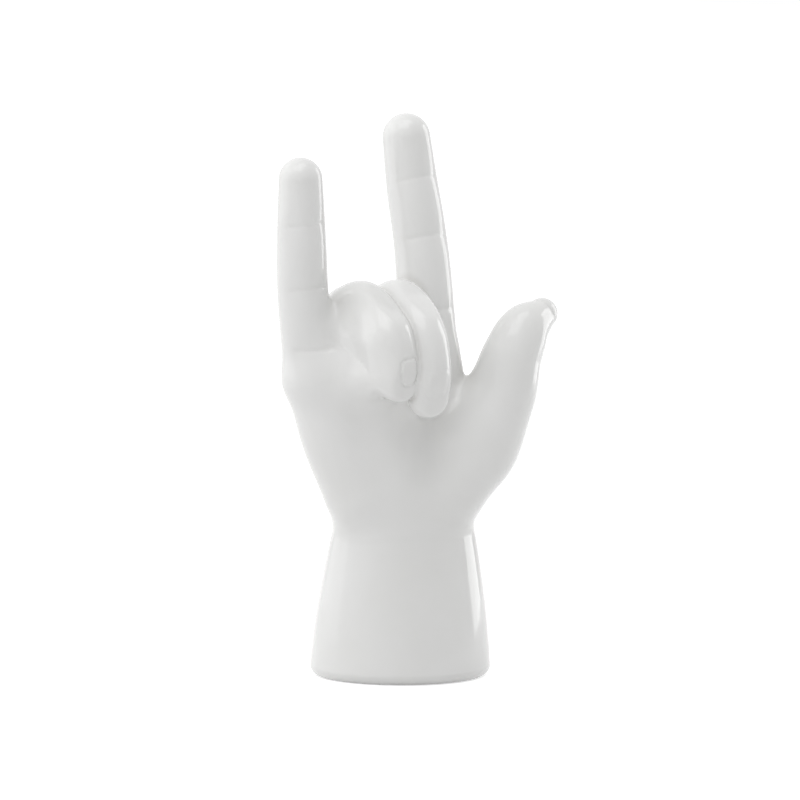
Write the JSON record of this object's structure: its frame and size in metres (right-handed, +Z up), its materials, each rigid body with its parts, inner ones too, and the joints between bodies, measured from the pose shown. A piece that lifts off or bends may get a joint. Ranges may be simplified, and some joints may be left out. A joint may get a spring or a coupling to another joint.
{
  "type": "ceramic hand sculpture",
  "caption": "White glazed ceramic right hand standing on a flared forearm, palm forward, index, little finger and thumb raised and the two middle fingers folded onto the palm.",
  "frame": {"origin": "centre of the foot on the surface it stands on, on the axis of the forearm's foot and of the vent hole", "axes": "+Z up along the forearm to the fingers, +X towards the thumb, the palm faces -Y"},
  "size_m": [0.1311, 0.0767, 0.2407],
  "materials": {
    "glaze": "high-gloss white glaze",
    "bisque": "dry unglazed bisque"
  },
  "bodies": {
    "root": {"forearm": "glaze", "palm": "glaze", "thumb": "glaze", "index_finger": "glaze", "middle_finger": "glaze", "ring_finger": "glaze", "little_finger": "glaze", "foot_plate": "bisque"}
  },
  "joints": []
}
